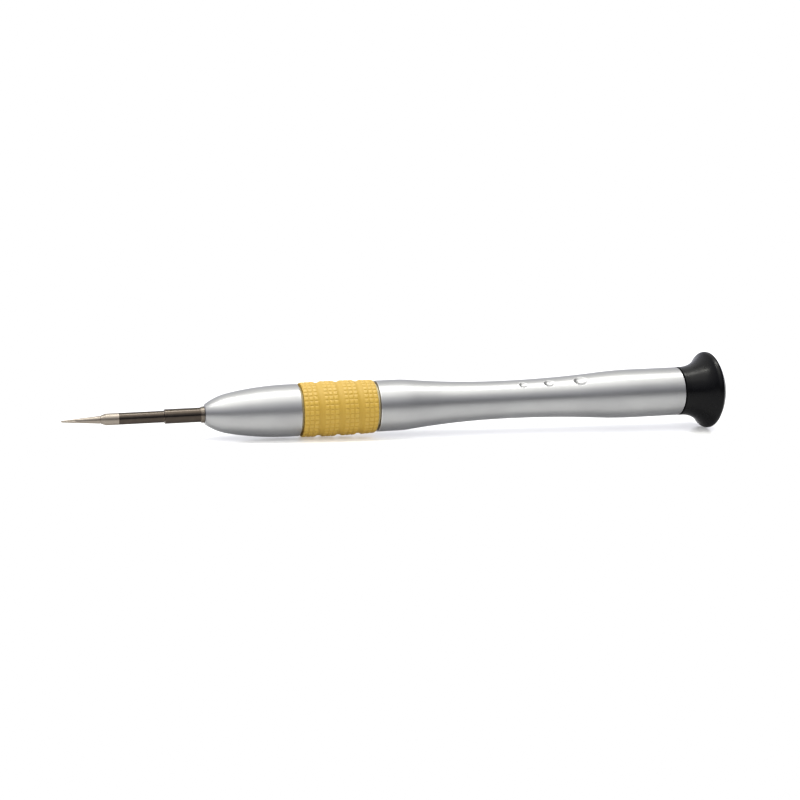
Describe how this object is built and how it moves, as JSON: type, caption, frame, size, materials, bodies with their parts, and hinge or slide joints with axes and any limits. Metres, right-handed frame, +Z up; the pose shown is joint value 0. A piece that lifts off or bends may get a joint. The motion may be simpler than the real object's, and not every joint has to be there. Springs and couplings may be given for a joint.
{
  "type": "precision screwdriver",
  "caption": "Slim precision screwdriver: fine star-tip blade in a turned metal handle with a knurled rubber grip and a free-spinning ball-bearing cap.",
  "frame": {"origin": "the driver tip, on the tool's axis", "axes": "+X along the tool's axis from the tip to the swivel cap, +Z up as the tool lies on a table, dimples on the upper near side (-Y)"},
  "size_m": [0.1264, 0.0148, 0.0148],
  "materials": {
    "blade_steel": "dark nickel finish, ground bright over the front third",
    "handle_aluminium": "satin bead-blasted and clear anodised",
    "grip_rubber": "matt yellow rubber, knurled in bands",
    "cap_plastic": "satin black moulded plastic",
    "cover_plastic": "smooth black moulded plastic",
    "screw_steel": "plain steel",
    "spacer_steel": "turned steel",
    "bearing_steel": "ground and polished bearing steel",
    "shield_steel": "pressed thin steel",
    "cage_brass": "pressed brass"
  },
  "bodies": {
    "driver": {"handle": "handle_aluminium", "blade": "blade_steel", "grip_sleeve": "grip_rubber", "cap_screw": "screw_steel", "bearing_spacer": "spacer_steel", "bearing_inner_ring": "bearing_steel"},
    "ball_set": {"bearing_cage": "cage_brass", "bearing_ball_1": "bearing_steel", "bearing_ball_2": "bearing_steel", "bearing_ball_3": "bearing_steel", "bearing_ball_4": "bearing_steel", "bearing_ball_5": "bearing_steel", "bearing_ball_6": "bearing_steel", "bearing_ball_7": "bearing_steel"},
    "cap": {"cap_body": "cap_plastic", "cap_cover": "cover_plastic", "bearing_outer_ring": "bearing_steel", "bearing_shield_front": "shield_steel", "bearing_shield_rear": "shield_steel"}
  },
  "joints": [
    {"name": "cap_spin", "type": "hinge", "parent": "driver", "child": "cap", "pos_m": [0.1219, 0, 0], "axis": [1, 0, 0], "continuous": true},
    {"name": "bearing_spin", "type": "hinge", "parent": "driver", "child": "ball_set", "pos_m": [0.1219, 0, 0], "axis": [1, 0, 0], "continuous": true}
  ],
  "couplings": [
    {"joint": "bearing_spin", "follows": "cap_spin", "ratio": 0.62}
  ]
}
